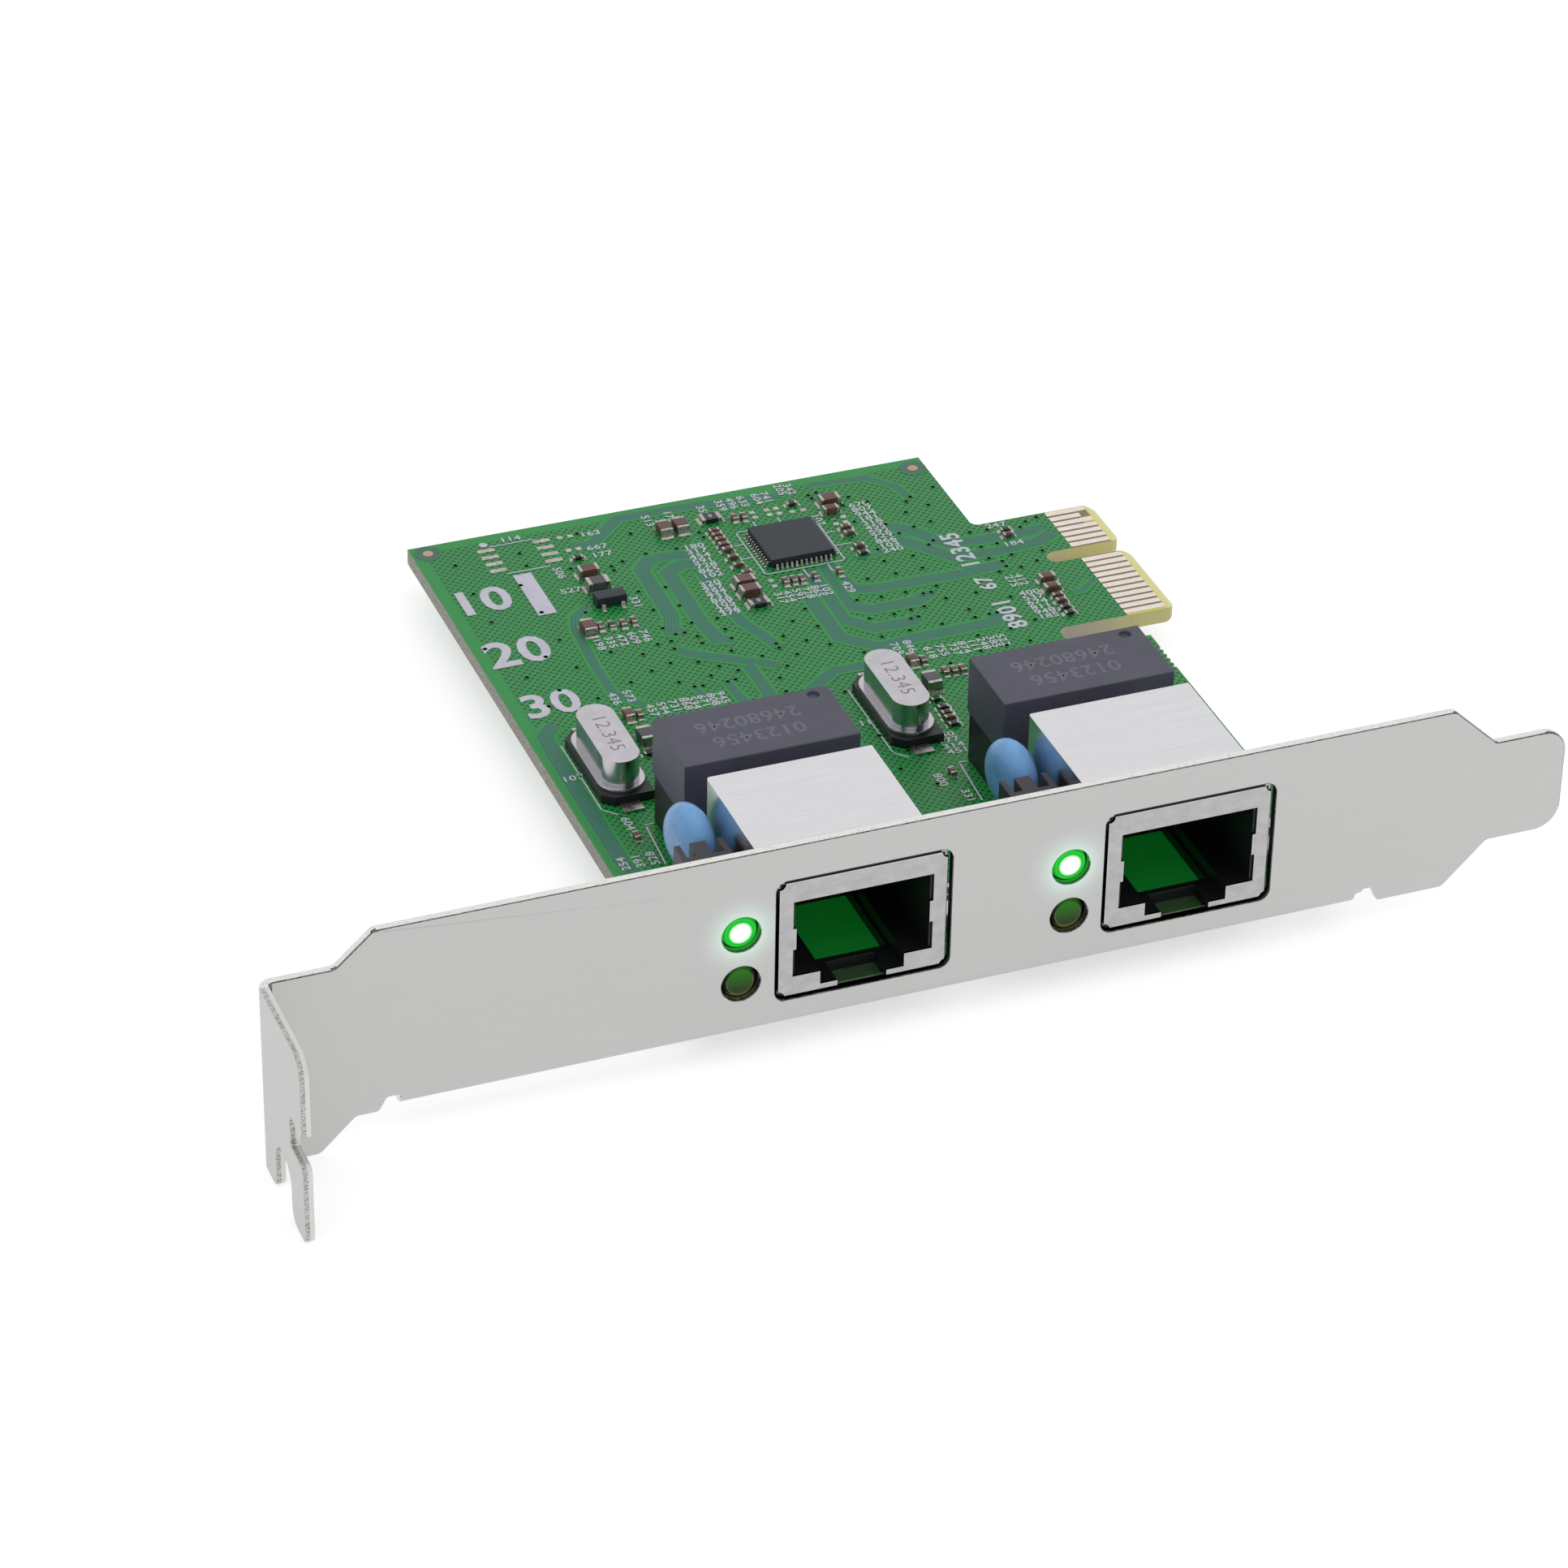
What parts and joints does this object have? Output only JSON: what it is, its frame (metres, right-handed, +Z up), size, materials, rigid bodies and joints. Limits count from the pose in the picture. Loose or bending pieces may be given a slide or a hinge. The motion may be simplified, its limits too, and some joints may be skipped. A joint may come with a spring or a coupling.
{
  "type": "network interface card",
  "caption": "Small green plug-in network card with shielded jacks and a long folded steel slot bracket with a screw tab and tapered tongue.",
  "frame": {"origin": "middle of the footprint, at the height of the lowest point of the tab", "axes": "+X along the bracket from the screw tab to the tongue, +Y from the outer face of the bracket into the computer case, +Z up from the solder side to the component side"},
  "size_m": [0.12, 0.0934, 0.0215],
  "materials": {
    "bracket_steel": "satin nickel-plated sheet with fine lengthwise grain",
    "shield_tin": "bright tinned sheet",
    "board_mask": "green solder mask over glass laminate",
    "contact_gold": "thin gold plating",
    "black_insulator": "moulded black plastic",
    "block_plastic": "dark grey moulded plastic",
    "holder_plastic": "dark grey moulded plastic",
    "lit_lens": "lit green lens",
    "dark_lens": "unlit olive lens",
    "blue_coating": "blue epoxy coating",
    "solder_tin": "tinned metal",
    "crystal_metal": "bright nickel-plated can",
    "chip_plastic": "black moulding compound",
    "ceramic_brown": "brown ceramic",
    "ferrite_grey": "dark grey ferrite",
    "resistor_black": "black coating",
    "screw_steel": "zinc-plated steel"
  },
  "bodies": {
    "root": {"bracket": "bracket_steel", "circuit_board": "board_mask", "edge_contacts_front": "contact_gold", "edge_contacts_rear": "contact_gold", "jack_shield_1": "shield_tin", "jack_shield_2": "shield_tin", "jack_housing_1": "black_insulator", "jack_housing_2": "black_insulator", "jack_contacts_1": "contact_gold", "jack_contacts_2": "contact_gold", "transformer_carrier_1": "black_insulator", "transformer_carrier_2": "black_insulator", "transformer_cover_1": "block_plastic", "transformer_cover_2": "block_plastic", "led_holder_1": "holder_plastic", "led_holder_2": "holder_plastic", "link_leds": "lit_lens", "activity_leds": "dark_lens", "disc_capacitor_1": "blue_coating", "disc_capacitor_2": "blue_coating", "capacitor_leads": "solder_tin", "solder_joints": "solder_tin", "crystal_can_1": "crystal_metal", "crystal_can_2": "crystal_metal", "crystal_flanges": "crystal_metal", "crystal_bases": "black_insulator", "crystal_leads": "solder_tin", "controller_chip": "chip_plastic", "controller_leads": "solder_tin", "regulator_body": "chip_plastic", "regulator_legs": "solder_tin", "inductor_bodies": "ferrite_grey", "inductor_ends": "solder_tin", "large_capacitor_bodies": "ceramic_brown", "large_capacitor_ends": "solder_tin", "medium_capacitor_bodies": "ceramic_brown", "medium_capacitor_ends": "solder_tin", "small_capacitor_bodies": "ceramic_brown", "small_capacitor_ends": "solder_tin", "small_resistor_bodies": "resistor_black", "small_resistor_ends": "solder_tin", "zero_link_bodies": "resistor_black", "zero_link_ends": "solder_tin", "bare_pads": "solder_tin", "memory_pads": "solder_tin", "bracket_screws": "screw_steel"}
  },
  "joints": []
}
